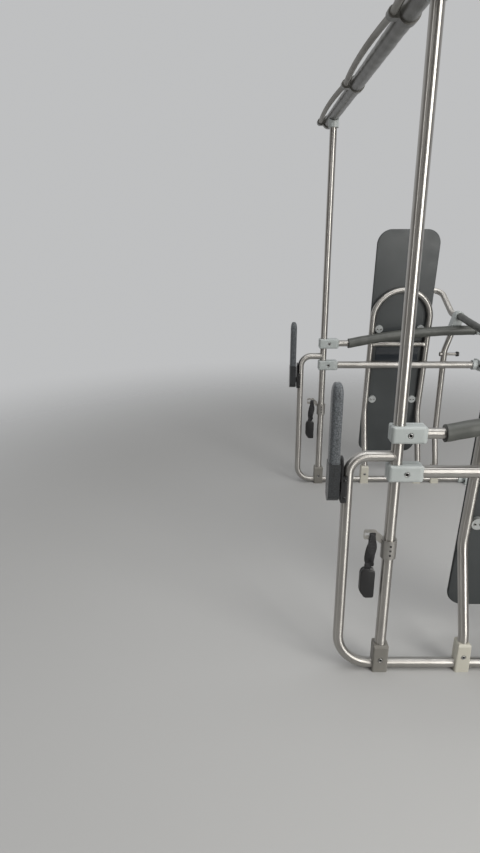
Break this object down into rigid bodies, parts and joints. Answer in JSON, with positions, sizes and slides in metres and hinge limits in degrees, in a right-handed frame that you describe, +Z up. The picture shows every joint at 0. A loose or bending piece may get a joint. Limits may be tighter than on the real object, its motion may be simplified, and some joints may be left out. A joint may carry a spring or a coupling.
{
  "type": "wheelchair bay handrail and backrest assembly",
  "caption": "Two tubular handrail frames with reclined backrest boards, belts and fold-down arms, joined by an overhead rail and a wall-side rail.",
  "frame": {"origin": "on the floor, at the middle of the front pole's foot clamp", "axes": "+X from the aisle to the side wall, +Y to the rear of the vehicle, +Z up"},
  "size_m": [0.961, 2.2431, 1.784],
  "materials": {
    "steel": "satin",
    "casting": "satin",
    "foam": "matt",
    "black_plastic": "satin",
    "board_panel": "satin",
    "board_pad": "satin",
    "webbing": "matt"
  },
  "bodies": {
    "bay_frames": {"front_pole": "steel", "front_hoop": "steel", "front_tee_clamps": "casting", "front_foot_clamps": "casting", "front_grip_rail": "steel", "front_grip": "foam", "front_plain_rail": "steel", "front_wall_sockets": "casting", "front_wall_post": "steel", "front_post_head": "casting", "front_post_stay": "steel", "front_arch": "steel", "front_panel": "board_panel", "front_pad": "board_pad", "front_fixings": "steel", "front_belt_collar": "steel", "front_belt_web": "webbing", "front_buckle": "black_plastic", "front_arm_bracket": "black_plastic", "rear_pole": "steel", "rear_hoop": "steel", "rear_tee_clamps": "casting", "rear_foot_clamps": "casting", "rear_grip_rail": "steel", "rear_grip": "foam", "rear_plain_rail": "steel", "rear_wall_sockets": "casting", "rear_wall_post": "steel", "rear_post_head": "casting", "rear_post_stay": "steel", "rear_arch": "steel", "rear_panel": "board_panel", "rear_pad": "board_pad", "rear_fixings": "steel", "rear_belt_collar": "steel", "rear_belt_web": "webbing", "rear_buckle": "black_plastic", "rear_arm_bracket": "black_plastic", "overhead_rail": "steel", "overhead_grips": "foam", "overhead_collars": "casting", "overhead_bars": "steel", "pole_saddles": "casting", "wall_rail": "steel", "wall_grip": "foam"},
    "front_arm": {"front_arm_knuckle": "black_plastic", "front_arm_pad": "foam"},
    "rear_arm": {"rear_arm_knuckle": "black_plastic", "rear_arm_pad": "foam"}
  },
  "joints": [
    {"name": "front_arm_fold", "type": "hinge", "parent": "bay_frames", "child": "front_arm", "pos_m": [-0.166, 0, 0.593], "axis": [-1, 0, 0], "range_deg": [0, 90]},
    {"name": "rear_arm_fold", "type": "hinge", "parent": "bay_frames", "child": "rear_arm", "pos_m": [-0.15, 1.4, 0.561], "axis": [-1, 0, 0], "range_deg": [0, 90]}
  ]
}
